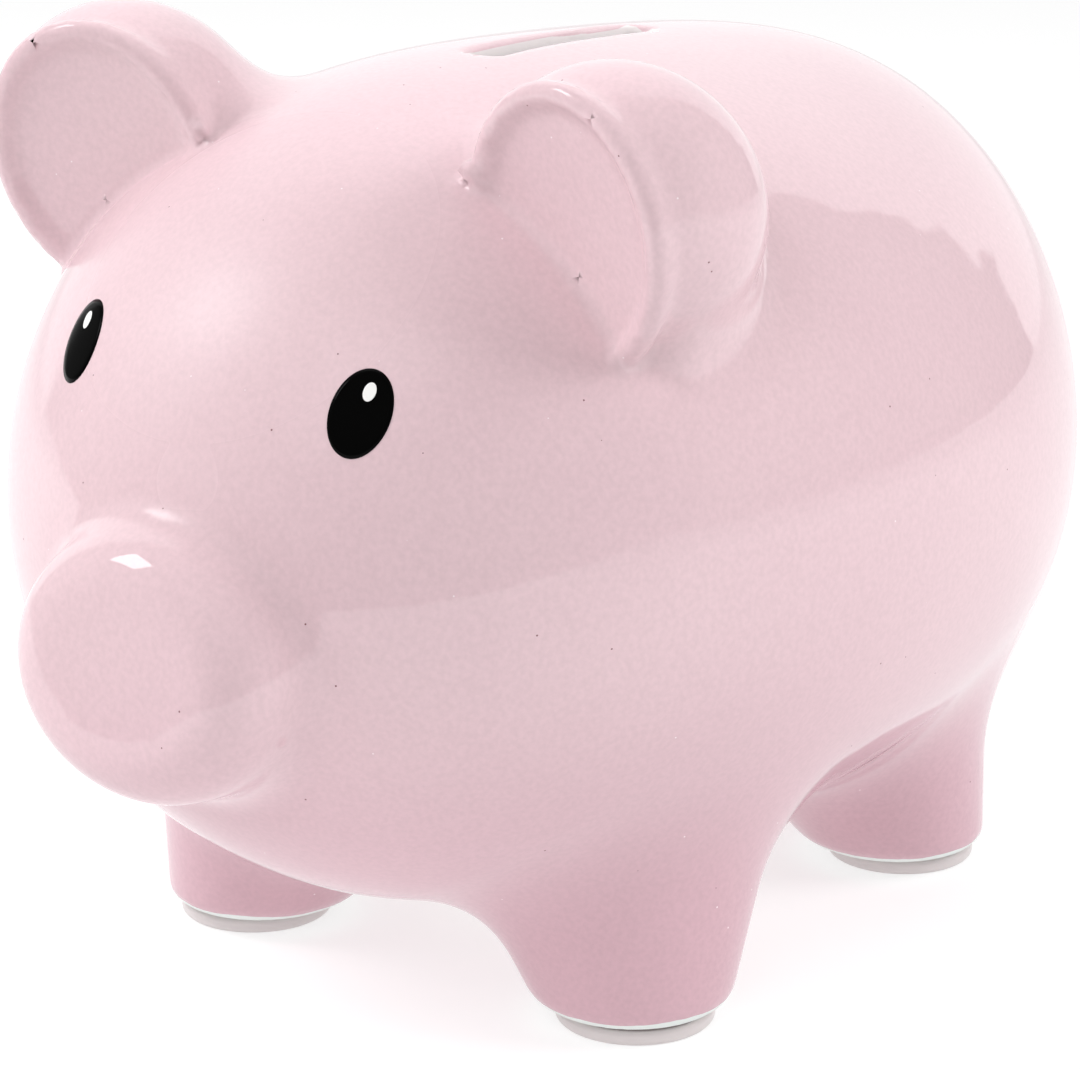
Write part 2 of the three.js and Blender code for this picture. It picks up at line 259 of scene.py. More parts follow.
def tailPath():
    points = []
    for t in np.linspace(0, 1, tailShape["points"]):
        angle = 2 * math.pi * tailShape["turns"] * t
        radius = tailShape["outer"] + (tailShape["inner"] - tailShape["outer"]) * t
        x = radius * math.sin(angle)
        z = egg["midZ"] + tailShape["aboveMid"] - radius * math.cos(angle)
        y = egg["midY"] + egg["halfLength"]
        for _ in range(30):                              # slides the point on to the rump
            y -= 0.7 * float(trunkField(np.array(x), np.array(y), np.array(z)))
        strand = tailShape["strand"] * (1 - tailShape["taper"] * t)
        points.append((x, y + tailShape["seat"] + tailShape["lift"] * t, z, strand))
    return np.array(points)


tailPoints = tailPath()


def tailField(x, y, z):
    away = np.full(np.shape(x), 50.0)
    near = (y > egg["midY"] + 0.6 * egg["halfLength"]) & (np.abs(x) < 24) & (z > 40) & (z < 104)
    px, py, pz = x[near], y[near], z[near]
    best = np.full(px.shape, 50.0)
    for (ax, ay, az, ar), (bx, by, bz, br) in zip(tailPoints[:-1], tailPoints[1:]):
        ux, uy, uz = bx - ax, by - ay, bz - az
        along = (px - ax) * ux + (py - ay) * uy + (pz - az) * uz
        share = np.clip(along / (ux * ux + uy * uy + uz * uz), 0, 1)
        gap = np.sqrt((px - ax - share * ux) ** 2 + (py - ay - share * uy) ** 2 + (pz - az - share * uz) ** 2)
        best = np.minimum(best, gap - ar - (br - ar) * share)
    away[near] = best
    return away


def barField(x, y, z):
    # the slot as a stadium prism, open upwards
    half = openings["slotLength"] / 2 - openings["slotWidth"] / 2
    along = np.maximum(np.abs(y - openings["slotMidY"]) - half, 0)
    return np.maximum(np.hypot(x, along) - openings["slotWidth"] / 2, egg["midZ"] + 20 - z)


holeMiddle = middleOf("stopper_plug")


def castingField(x, y, z):
    outside = smoothMin(trunkField(x, y, z), snoutField(x, y, z), snout["blend"])
    legs = np.minimum(legField(x, y, z, "front"), legField(x, y, z, "rear"))
    outside = smoothMin(outside, legs, leg["blend"])
    ear, ahead = earFields(x, y, z)
    # the ear meets the head in a tight crease in front and in a wide fillet behind
    mix = np.clip(-ahead / earShape["blendDepth"], 0, 1)
    mix = mix * mix * (3 - 2 * mix)
    blend = earShape["creaseBlend"] + (earShape["backBlend"] - earShape["creaseBlend"]) * mix
    outside = smoothMin(outside, ear, blend)
    outside = smoothMin(outside, tailField(x, y, z), tailShape["blend"])
    beadX, beadY, beadZ = (glazeBead[k] for k in ("x", "y", "z"))
    beadGap = np.sqrt((np.abs(x) - beadX) ** 2 + (y - beadY) ** 2 + (z - beadZ) ** 2)
    outside = smoothMin(outside, beadGap - glazeBead["radius"], glazeBead["blend"])

    wall = egg["wall"]
    inside = smoothMin(trunkField(x, y, z, -wall), snoutField(x, y, z, -wall), cavity["snoutBlend"])
    innerLegs = np.minimum(legField(x, y, z, "front", -wall), legField(x, y, z, "rear", -wall))
    inside = smoothMin(inside, innerLegs, cavity["legBlend"])
    axisGap = np.hypot(x - holeMiddle[0], y - holeMiddle[1])
    ringTop = openings["landZ"] + openings["holeWall"]
    ring = np.maximum(axisGap - openings["landRadius"] - wall, z - ringTop)
    inside = smoothMax(inside, -ring, cavity["landBlend"])

    solid = smoothMax(outside, -inside, cavity["rimBlend"])
    solid = smoothMax(solid, -barField(x, y, z), openings["slotSoftness"])
    hole = np.maximum(axisGap - openings["holeRadius"], z - ringTop - 20)
    land = np.maximum(axisGap - openings["landRadius"], z - openings["landZ"])
    solid = smoothMax(solid, -hole, openings["holeSoftness"])
    return smoothMax(solid, -land, openings["holeSoftness"])


def surfaceNet(low, high, step):
    # one point in each cell that the surface crosses, joined to its neighbours by quads
    axes = [np.arange(low[i], high[i] + step, step) for i in range(3)]
    shape = [len(a) for a in axes]
    field = np.empty(shape, np.float32)
    for i0 in range(0, shape[0], 16):
        x, y, z = np.meshgrid(axes[0][i0:i0 + 16], axes[1], axes[2], indexing="ij")
        field[i0:i0 + 16] = castingField(x, y, z)
    inside = field < 0
    total = np.zeros([n - 1 for n in shape] + [3], np.float32)
    count = np.zeros([n - 1 for n in shape], np.float32)
    crossings = []
    for axis in range(3):
        first = [slice(None)] * 3
        second = [slice(None)] * 3
        first[axis], second[axis] = slice(0, -1), slice(1, None)
        crossed = inside[tuple(first)] != inside[tuple(second)]
        spots = np.argwhere(crossed)
        a, b = field[tuple(first)][crossed], field[tuple(second)][crossed]
        place = spots.astype(np.float32)
        place[:, axis] += a / (a - b)
        others = [k for k in range(3) if k != axis]
        for du in (0, -1):
            for dv in (0, -1):
                cell = spots.copy()
                cell[:, others[0]] += du
                cell[:, others[1]] += dv
                ok = np.all((cell >= 0) & (cell < np.array(shape) - 1), axis=1)
                index = tuple(cell[ok].T)
                np.add.at(total, index, place[ok])
                np.add.at(count, index, 1)
        crossings.append((spots, inside[tuple(first)][crossed], axis, others))
    used = count > 0
    number = np.full(count.shape, -1, np.int64)
    number[used] = np.arange(int(used.sum()))
    points = total[used] / count[used][:, None] * step + np.array([a[0] for a in axes])
    quads = []
    for spots, startsInside, axis, others in crossings:
        ring = []
        for du, dv in ((-1, -1), (0, -1), (0, 0), (-1, 0)):
            cell = spots.copy()
            cell[:, others[0]] += du
            cell[:, others[1]] += dv
            ring.append(number[tuple(cell.T)])
        ring = np.stack(ring, 1)
        flip = startsInside if axis != 1 else ~startsInside
        ring[~flip] = ring[~flip][:, ::-1]
        quads.append(ring)
    return points.astype(np.float64), np.concatenate(quads)


def slopeOf(points, reach=0.05):
    slope = np.empty_like(points)
    for axis in range(3):
        step = np.zeros(3)
        step[axis] = reach
        ahead = castingField(*(points + step).T)
        behind = castingField(*(points - step).T)
        slope[:, axis] = (ahead - behind) / (2 * reach)
    return slope


def settle(points, quads):
    # evens out the net along the surface and pulls each point back on to it
    edges = np.concatenate([quads[:, [i, (i + 1) % 4]] for i in range(4)])
    degree = np.bincount(edges[:, 0], minlength=len(points)) + np.bincount(edges[:, 1], minlength=len(points))
    longest = casting["longestMove"]
    for i in range(casting["rounds"]):
        distance = castingField(*points.T)
        slope = slopeOf(points)
        size = np.maximum(np.linalg.norm(slope, axis=1, keepdims=True), casting["leastSlope"])
        points = points - slope / size * np.clip(distance[:, None] / size, -longest, longest)
        if i == casting["rounds"] - 1:
            break
        total = np.zeros_like(points)
        np.add.at(total, edges[:, 0], points[edges[:, 1]])
        np.add.at(total, edges[:, 1], points[edges[:, 0]])
        shift = total / degree[:, None] - points
        normal = slope / size
        points = points + casting["evening"] * (shift - normal * (shift * normal).sum(1, keepdims=True))
    return points


def meshObject(name, points, faces, smooth=True):
    mesh = bpy.data.meshes.new(name)
    mesh.from_pydata([tuple(p) for p in points * mm], [], [tuple(int(i) for i in f) for f in faces])
    mesh.update()
    if smooth:
        mesh.shade_smooth()
    made = bpy.data.objects.new(name, mesh)
    scene.collection.objects.link(made)
    return made


def makeCasting():
    low, high = np.array(cadBox[0]) / mm, np.array(cadBox[1]) / mm
    points, quads = surfaceNet(low - casting["margin"], high + casting["margin"], casting["step"])
    points = settle(points, quads)
    made = meshObject("glazed_casting", points, quads)
    hidden = trunkField(*points.T, -egg["wall"] / 2)     # the cavity side can be coarse
    for end in ("front", "rear"):
        hidden = np.minimum(hidden, legField(*points.T, end, -egg["wall"] / 2))
    inner = made.vertex_groups.new(name="cavity")
    inner.add([int(i) for i in np.flatnonzero(hidden < 0)], 1.0, "REPLACE")
    thin = made.modifiers.new("thin", "DECIMATE")
    thin.ratio = casting["keep"]
    thin.vertex_group = inner.name
    graph = bpy.context.evaluated_depsgraph_get()
    thinned = bpy.data.meshes.new_from_object(made.evaluated_get(graph), depsgraph=graph)
    made.modifiers.clear()
    made.vertex_groups.clear()
    made.data = thinned
    return made


body = makeCasting()
print("casting", len(body.data.vertices), "points", len(body.data.polygons), "faces")


glaze = {
    "light": "#E6CACF", "mid": "#DFC1C8", "deep": "#D4AEB8", "bare": "#E9EFEC", "cut": "#EBE4E4",
    "darkSpeck": "#8A5F64", "paleSpeck": "#F6E6EA", "speckRadius": 0.05, "speckShare": 0.3,
    "gloss": 0.035, "bareRoughness": 0.5, "line": 3.0, "raggedness": 1.2,
    "shadeAndPoolTop": 62.0, "shadeAndPoolFoot": 12.0,                   # deeper pink below the lower height: partly where the glaze pools, partly painted shade
    "satin": (((-1, -62, 100), 38, 0.32), ((3, -78, 75), 7, 0.16)),      # middle, reach, added roughness
}


def cutMask(tree, where):
    # the sides of the coin slot, cut through the wall after glazing was wiped away
    away = addNode(tree, "ShaderNodeVectorMath", {"operation": "SUBTRACT"}, i0=(where, "Object"),
                   i1=(0, openings["slotMidY"] * mm, 0.14))
    size = addNode(tree, "ShaderNodeVectorMath", {"operation": "ABSOLUTE"}, i0=(away, 0))
    limit = (openings["slotWidth"] / 2 + 0.15, openings["slotLength"] / 2 + 0.1, 40.0)     # mm either way
    over = addNode(tree, "ShaderNodeVectorMath", {"operation": "SUBTRACT"}, i0=(size, 0),
                   i1=tuple(v * mm for v in limit))
    split = addNode(tree, "ShaderNodeSeparateXYZ", Vector=(over, 0))
    most = addNode(tree, "ShaderNodeMath", {"operation": "MAXIMUM"}, i0=(split, 0), i1=(split, 1))
    most = addNode(tree, "ShaderNodeMath", {"operation": "MAXIMUM"}, i0=(most, 0), i1=(split, 2))
    return addNode(tree, "ShaderNodeMath", {"operation": "LESS_THAN"}, i0=(most, 0), i1=0.0)


def glazeMaterial():
    # pink glaze over slip-cast earthenware: glassy, faintly wavy, peppered with pinholes;
    # its deeper pink low down is partly pooled glaze, partly painted shade; it stops short of the feet, where
    # the white body shows
    material, tree = newMaterial("pinkGlazedEarthenware")
    where = addNode(tree, "ShaderNodeTexCoord")
    cloud = addNode(tree, "ShaderNodeTexNoise", Vector=(where, "Object"), Scale=perMetre(33.3), Detail=2.0)
    base = addNode(tree, "ShaderNodeMix", {"data_type": "RGBA"}, Factor=(cloud, "Fac"),
                   i6=linear(glaze["light"]), i7=linear(glaze["mid"]))
    split = addNode(tree, "ShaderNodeSeparateXYZ", Vector=(where, "Object"))
    # painted shade: the colour turns deeper pink from mid height down to the feet, partly pooled glaze,
    # partly standing in for shade under the body and on the legs
    low = addNode(tree, "ShaderNodeMapRange", {"interpolation_type": "SMOOTHSTEP"}, Value=(split, "Z"),
                  From_Min=glaze["shadeAndPoolTop"] * mm, From_Max=glaze["shadeAndPoolFoot"] * mm, To_Min=0.0, To_Max=1.0)
    deep = addNode(tree, "ShaderNodeMix", {"data_type": "RGBA"}, Factor=(low, 0), i6=(base, 2),
                   i7=linear(glaze["deep"]))
    # real glaze is flecked finer than this; 0.7 mm is as coarse as it needs to be to show
    mottle = addNode(tree, "ShaderNodeTexNoise", Vector=(where, "Object"), Scale=perMetre(0.714), Detail=2.0)
    grain = addNode(tree, "ShaderNodeMapRange", Value=(mottle, "Fac"), From_Min=0.3, From_Max=0.7,
                    To_Min=0.96, To_Max=1.03)
    tinted = addNode(tree, "ShaderNodeVectorMath", {"operation": "SCALE"}, i0=(deep, 2),
                     Scale=(grain, "Result"))
    spots = addNode(tree, "ShaderNodeTexVoronoi", Vector=(where, "Object"), Scale=perMetre(2.381))
    pick = addNode(tree, "ShaderNodeMath", {"operation": "LESS_THAN"}, i0=(spots, "Distance"),
                   i1=glaze["speckRadius"])
    hue = addNode(tree, "ShaderNodeSeparateColor", Color=(spots, "Color"))
    few = addNode(tree, "ShaderNodeMath", {"operation": "LESS_THAN"}, i0=(hue, 0),
                  i1=glaze["speckShare"])
    speck = addNode(tree, "ShaderNodeMath", {"operation": "MULTIPLY"}, i0=(pick, 0), i1=(few, 0))
    pale = addNode(tree, "ShaderNodeMath", {"operation": "GREATER_THAN"}, i0=(hue, 1), i1=0.5)
    speckColour = addNode(tree, "ShaderNodeMix", {"data_type": "RGBA"}, Factor=(pale, 0),
                          i6=linear(glaze["darkSpeck"]), i7=linear(glaze["paleSpeck"]))
    specked = addNode(tree, "ShaderNodeMix", {"data_type": "RGBA"}, Factor=(speck, 0), i6=(tinted, 0),
                      i7=(speckColour, 2))
    ragged = addNode(tree, "ShaderNodeTexNoise", Vector=(where, "Object"), Scale=perMetre(7.14), Detail=2.0)
    lift = addNode(tree, "ShaderNodeMath", {"operation": "MULTIPLY_ADD"}, i0=(ragged, "Fac"),
                   i1=glaze["raggedness"] * mm,
                   i2=glaze["line"] * mm)
    bare = addNode(tree, "ShaderNodeMath", {"operation": "LESS_THAN"}, i0=(split, "Z"), i1=(lift, 0))
    colour = addNode(tree, "ShaderNodeMix", {"data_type": "RGBA"}, Factor=(bare, 0), i6=(specked, 2),
                     i7=linear(glaze["bare"]))
    colour = addNode(tree, "ShaderNodeMix", {"data_type": "RGBA"}, Factor=(cutMask(tree, where), 0),
                     i6=(colour, 2), i7=linear(glaze["cut"]))
    rough = addNode(tree, "ShaderNodeMapRange", Value=(bare, 0), To_Min=glaze["gloss"],
                    To_Max=glaze["bareRoughness"])
    for middle, reach, amount in glaze["satin"]:
        away = addNode(tree, "ShaderNodeVectorMath", {"operation": "DISTANCE"}, i0=(where, "Object"),
                       i1=tuple(v * mm for v in middle))
        satin = addNode(tree, "ShaderNodeMapRange", {"interpolation_type": "SMOOTHSTEP"},
                        Value=(away, "Value"), From_Min=reach * 0.45 * mm, From_Max=reach * mm,
                        To_Min=amount, To_Max=0.0)
        rough = addNode(tree, "ShaderNodeMath", {"operation": "ADD"}, i0=(rough, 0), i1=(satin, 0))
    wave = addNode(tree, "ShaderNodeTexNoise", Vector=(where, "Object"), Scale=perMetre(9.09), Detail=1.0)
    ripple = addNode(tree, "ShaderNodeBump", Strength=0.35, Distance=0.00012, Height=(wave, "Fac"))
    orangePeel = addNode(tree, "ShaderNodeBump", Strength=0.12, Distance=0.00004, Height=(mottle, "Fac"),
                         Normal=(ripple, "Normal"))
    shader = addNode(tree, "ShaderNodeBsdfPrincipled", Base_Color=(colour, 2), Roughness=(rough, 0), IOR=1.5,
                     Normal=(orangePeel, "Normal"))
    finishMaterial(tree, shader)
    return material


def bareClayMaterial():
    # unglazed white body under each foot: matt, slightly mint
    material, tree = newMaterial("bareWhiteEarthenware")
    shader = addNode(tree, "ShaderNodeBsdfPrincipled", Base_Color=linear("#E6ECE9"), Roughness=0.6)
    finishMaterial(tree, shader)
    return material


def decalMaterial(name, colour):
    # fired-on print under a thin clear flux: flat colour with a glassy surface
    material, tree = newMaterial(name)
    shader = addNode(tree, "ShaderNodeBsdfPrincipled", Base_Color=linear(colour), Roughness=0.12)
    shader.inputs["Specular IOR Level"].default_value = 0.05
    finishMaterial(tree, shader)
    return material


def padMaterial():
    # soft clear polyurethane: milky, lets some light through its edge
    material, tree = newMaterial("clearPolyurethanePad")
    shader = addNode(tree, "ShaderNodeBsdfPrincipled", Base_Color=linear("#E3D9D9"), Roughness=0.3, IOR=1.45)
    shader.inputs["Transmission Weight"].default_value = 0.35
    finishMaterial(tree, shader)
    return material


def filmMaterial():
    # the thin sticky layer, coloured dark grey as painted shade for the shadowed gap between foot and pad
    material, tree = newMaterial("acrylicAdhesiveFilm")
    shader = addNode(tree, "ShaderNodeBsdfPrincipled", Base_Color=linear("#7E7472"), Roughness=0.5)
    finishMaterial(tree, shader)
    return material


def vinylMaterial():
    # soft white vinyl with a satin moulded surface
    material, tree = newMaterial("satinWhiteVinyl")
    where = addNode(tree, "ShaderNodeTexCoord")
    grain = addNode(tree, "ShaderNodeTexNoise", Vector=(where, "Object"), Scale=perMetre(0.667), Detail=2.0)
    bump = addNode(tree, "ShaderNodeBump", Strength=0.15, Distance=0.0001, Height=(grain, "Fac"))
    shader = addNode(tree, "ShaderNodeBsdfPrincipled", Base_Color=linear("#E9E7E2"), Roughness=0.42,
                     Normal=(bump, "Normal"))
    finishMaterial(tree, shader)
    return material


body.data.materials.append(glazeMaterial())
body.data.materials.append(bareClayMaterial())
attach(body, "bank")
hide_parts("body_shell", "ear_left", "ear_right", "tail")


eye = {"halfWidth": 3.6, "halfHeight": 5.3, "lean": 15.0, "proud": 0.12, "sunk": 0.5,
       "spotOut": 0.2, "spotUp": 2.6, "spotHalfWidth": 0.8, "spotHalfHeight": 1.22, "spotProud": 0.03,
       "rings": 8, "spokes": 72}


def ontoGlaze(points, direction):
    for _ in range(12):
        points = points - direction * (castingField(*points.T)[:, None] * 0.9)
    return points


def ovalPatch(centre, normal, upright, aside, halfWidth, halfHeight, proud, sunk):
    # a thin closed oval that follows the glaze, slightly rounded at its rim
    points, faces = [centre], []
    for ring in range(1, eye["rings"] + 1):
        share = ring / eye["rings"]
        for spoke in range(eye["spokes"]):
            angle = 2 * math.pi * spoke / eye["spokes"]
            points.append(centre + share * (aside * halfWidth * math.cos(angle)
                                            + upright * halfHeight * math.sin(angle)))
    skin = ontoGlaze(np.array(points), normal)
    top = skin + normal * proud
    count = len(points)
    top[count - eye["spokes"]:] -= normal * proud * 0.5
    bottom = skin - normal * sunk
    ringStart = [1 + r * eye["spokes"] for r in range(eye["rings"])]
    for spoke in range(eye["spokes"]):
        after = (spoke + 1) % eye["spokes"]
        faces.append((0, ringStart[0] + spoke, ringStart[0] + after))
        faces.append((count, count + ringStart[0] + after, count + ringStart[0] + spoke))
        for inner, outer in zip(ringStart[:-1], ringStart[1:]):
            faces.append((inner + spoke, outer + spoke, outer + after, inner + after))
            faces.append((count + inner + spoke, count + inner + after,
                          count + outer + after, count + outer + spoke))
        last = ringStart[-1]
        faces.append((last + spoke, count + last + spoke, count + last + after, last + after))
    return np.concatenate([top, bottom]), faces


def makeEye(node, side):
    low, high = boxOf(node)
    centre = ontoGlaze(np.array([(low + high) / 2]), np.array([0.0, -1.0, 0.0]))
    normal = slopeOf(centre)[0]
    normal /= np.linalg.norm(normal)
    upright = np.array([0, 0, 1.0]) - normal * normal[2]
    upright /= np.linalg.norm(upright)
    aside = np.cross(upright, normal)
    lean = math.radians(eye["lean"]) * side
    tall = upright * math.cos(lean) + aside * math.sin(lean)
    wide = aside * math.cos(lean) - upright * math.sin(lean)
    oval, ovalFaces = ovalPatch(centre[0], normal, tall, wide, eye["halfWidth"], eye["halfHeight"],
                                eye["proud"], eye["sunk"])
    spotMiddle = centre[0] + tall * eye["spotUp"] + wide * eye["spotOut"] * side
    spot, spotFaces = ovalPatch(spotMiddle, normal, tall, wide, eye["spotHalfWidth"], eye["spotHalfHeight"],
                                eye["proud"] + eye["spotProud"], 0.0)
    faces = ovalFaces + [tuple(i + len(oval) for i in f) for f in spotFaces]
    made = meshObject(node + "_print", np.concatenate([oval, spot]), faces)
    made.data.materials.append(decalMaterial("blackCeramicDecal", "#050505"))
    made.data.materials.append(decalMaterial("whiteCeramicDecal", "#F7F6F4"))
    for number, polygon in enumerate(made.data.polygons):
        polygon.material_index = 0 if number < len(ovalFaces) else 1
    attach(made, "bank")
    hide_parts(node)


makeEye("eye_left", 1)
makeEye("eye_right", -1)
print("eyes printed")


pad = {"shoulder": 0.8, "filmEdge": 0.1}


def spunPiece(name, middle, profile, spokes=96):
    # profile runs from the axis at the top, outwards and down, back to the axis
    points, faces, rings = [], [], []
    for radius, height in profile:
        if radius < 1e-6:
            rings.append([len(points)] * spokes)
            points.append((middle[0], middle[1], height))
            continue
        rings.append(list(range(len(points), len(points) + spokes)))
        for spoke in range(spokes):
            angle = 2 * math.pi * spoke / spokes
            points.append((middle[0] + radius * math.cos(angle),
                           middle[1] + radius * math.sin(angle), height))
    for upper, lower in zip(rings[:-1], rings[1:]):
        for spoke in range(spokes):
            after = (spoke + 1) % spokes
            corners = [upper[spoke], lower[spoke], lower[after], upper[after]]
            faces.append(tuple(dict.fromkeys(corners)))
    return meshObject(name, np.array(points), faces)


def newTree(name, sizes):
    tree = bpy.data.node_groups.new(name, "GeometryNodeTree")
    tree.interface.new_socket("Geometry", in_out="INPUT", socket_type="NodeSocketGeometry")
    for size, kind in sizes.items():
        tree.interface.new_socket(size, in_out="INPUT", socket_type=kind)
    tree.interface.new_socket("Geometry", in_out="OUTPUT", socket_type="NodeSocketGeometry")
    return tree, tree.nodes.new("NodeGroupInput")


def sweep(tree, rail, profile, scale=None, caps=False):
    swept = addNode(tree, "GeometryNodeCurveToMesh", Curve=rail, Profile_Curve=profile, Fill_Caps=caps)
    if scale and "Scale" in swept.inputs:
        tree.links.new(scale[0].outputs[scale[1]], swept.inputs["Scale"])
    return swept


def finishTree(tree, points, instance, material):
    copies = addNode(tree, "GeometryNodeInstanceOnPoints", Points=points, Instance=instance)
    real = addNode(tree, "GeometryNodeRealizeInstances", Geometry=(copies, 0))
    painted = addNode(tree, "GeometryNodeSetMaterial", Geometry=(real, 0), Material=material)
    addNode(tree, "NodeGroupOutput", Geometry=(painted, 0))


def discTree(name, material):
    # a disc with a rounded shoulder, one on every point it is given
    tree, sizes = newTree(name, {"Radius": "NodeSocketFloat", "Thickness": "NodeSocketFloat",
                                 "Shoulder": "NodeSocketFloat", "Sides": "NodeSocketInt"})
    top = addNode(tree, "ShaderNodeCombineXYZ", Z=(sizes, "Thickness"))
    line = addNode(tree, "GeometryNodeCurvePrimitiveLine", Start=(0, 0, 0), End=(top, 0))
    steps = addNode(tree, "GeometryNodeResampleCurve", Curve=(line, 0), Count=25)
    share = addNode(tree, "GeometryNodeSplineParameter")
    back = addNode(tree, "ShaderNodeMath", {"operation": "SUBTRACT"}, i0=1.0, i1=(share, "Factor"))
    nearest = addNode(tree, "ShaderNodeMath", {"operation": "MINIMUM"}, i0=(share, "Factor"), i1=(back, 0))
    deep = addNode(tree, "ShaderNodeMath", {"operation": "MULTIPLY"}, i0=(nearest, 0),
                   i1=(sizes, "Thickness"))
    left = addNode(tree, "ShaderNodeMath", {"operation": "SUBTRACT", "use_clamp": True},
                   i0=(sizes, "Shoulder"), i1=(deep, 0))
    leftSquare = addNode(tree, "ShaderNodeMath", {"operation": "MULTIPLY"}, i0=(left, 0), i1=(left, 0))
    square = addNode(tree, "ShaderNodeMath", {"operation": "MULTIPLY"}, i0=(sizes, "Shoulder"),
                     i1=(sizes, "Shoulder"))
    rest = addNode(tree, "ShaderNodeMath", {"operation": "SUBTRACT"}, i0=(square, 0), i1=(leftSquare, 0))
    bulge = addNode(tree, "ShaderNodeMath", {"operation": "SQRT"}, i0=(rest, 0))
    flat = addNode(tree, "ShaderNodeMath", {"operation": "SUBTRACT"}, i0=(sizes, "Radius"),
                   i1=(sizes, "Shoulder"))
    reach = addNode(tree, "ShaderNodeMath", {"operation": "ADD"}, i0=(flat, 0), i1=(bulge, 0))
    shaped = addNode(tree, "GeometryNodeSetCurveRadius", Curve=(steps, 0), Radius=(reach, 0))
    ring = addNode(tree, "GeometryNodeCurvePrimitiveCircle", Resolution=(sizes, "Sides"), Radius=1.0)
    disc = sweep(tree, (shaped, 0), (ring, 0), (reach, 0), True)
    finishTree(tree, (sizes, "Geometry"), (disc, 0), material)
    return tree


def ribTree(name, material):
    # rings of one size, evenly stacked up from every point it is given
    tree, sizes = newTree(name, {"Neck": "NodeSocketFloat", "Rise": "NodeSocketFloat",
                                 "Gap": "NodeSocketFloat", "Count": "NodeSocketInt"})
    offset = addNode(tree, "ShaderNodeCombineXYZ", Z=(sizes, "Gap"))
    stack = addNode(tree, "GeometryNodeMeshLine", Count=(sizes, "Count"), Offset=(offset, 0))
    rail = addNode(tree, "GeometryNodeCurvePrimitiveCircle", Resolution=96, Radius=(sizes, "Neck"))
    profile = addNode(tree, "GeometryNodeCurvePrimitiveCircle", Resolution=16, Radius=(sizes, "Rise"))
    ring = sweep(tree, (rail, 0), (profile, 0))
    rings = addNode(tree, "GeometryNodeInstanceOnPoints", Points=(stack, 0), Instance=(ring, 0))
    finishTree(tree, (sizes, "Geometry"), (rings, 0), material)
    return tree


def grow(name, places, tree, sizes):
    # runs a tree on a few points and keeps the result as a plain mesh
    host = meshObject(name, np.array(places, float), [], smooth=False)
    modifier = host.modifiers.new("growth", "NODES")
    modifier.node_group = tree
    for socket in tree.interface.items_tree:
        if socket.in_out == "INPUT" and socket.name in sizes:
            modifier[socket.identifier] = sizes[socket.name]
    graph = bpy.context.evaluated_depsgraph_get()
    grown = bpy.data.meshes.new_from_object(host.evaluated_get(graph), depsgraph=graph)
    host.modifiers.clear()
    host.data = grown
    tidy = bmesh.new()
    tidy.from_mesh(grown)
    bmesh.ops.remove_doubles(tidy, verts=tidy.verts[:], dist=1e-7)
    bmesh.ops.recalc_face_normals(tidy, faces=tidy.faces[:])
    tidy.to_mesh(grown)
    tidy.free()
    grown.shade_smooth()
    return host


corners = ("front_left", "front_right", "rear_left", "rear_right")


def stickUnderFeet(name, nodePrefix, material, shoulder):
    boxes = [boxOf(nodePrefix + corner) for corner in corners]
    places = [((low + high) / 2)[:2].tolist() + [low[2]] for low, high in boxes]
    low, high = boxes[0]
    discs = grow(name, places, discTree(name + "_tree", material), {
        "Radius": float(high[0] - low[0]) / 2 * mm, "Thickness": float(high[2] - low[2]) * mm,
        "Shoulder": shoulder * mm, "Sides": 96})
    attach(discs, "bank")
    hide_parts(*[nodePrefix + corner for corner in corners])


stickUnderFeet("bumper_pads", "foot_pad_", padMaterial(), pad["shoulder"])
stickUnderFeet("adhesive_films", "pad_adhesive_", filmMaterial(), pad["filmEdge"])
print("pads placed")


plug = {
    "neckRadius": 14.0, "flangeThickness": 2.2, "ribs": 4, "ribRise": 0.45, "ribStart": 1.6, "ribTopGap": 2.0,
    "gripLength": 20.0, "gripWidth": 4.0, "gripHeight": 2.8, "gripRound": 0.9,
}


def stopperProfile(high, flange):
    # radius and height pairs: the hollow neck's inside, its top, its outside, then round the flange
    neck = plug["neckRadius"]
    flangeTop = openings["landZ"]
    flangeLow = flangeTop - plug["flangeThickness"]
    profile = [(0.0, flangeTop), (neck - 2.6, flangeTop), (neck - 2.0, flangeTop + 0.6),
               (neck - 2.0, high - 0.5), (neck - 1.5, high), (neck - 0.6, high), (neck, high - 0.6)]
    profile += [(neck, flangeTop + 0.3), (neck + 0.3, flangeTop), (flange - 0.8, flangeTop),
                (flange - 0.25, flangeTop - 0.25), (flange, flangeTop - 0.8), (flange, flangeLow + 0.8),
                (flange - 0.25, flangeLow + 0.25), (flange - 0.8, flangeLow), (0.0, flangeLow)]
    return profile


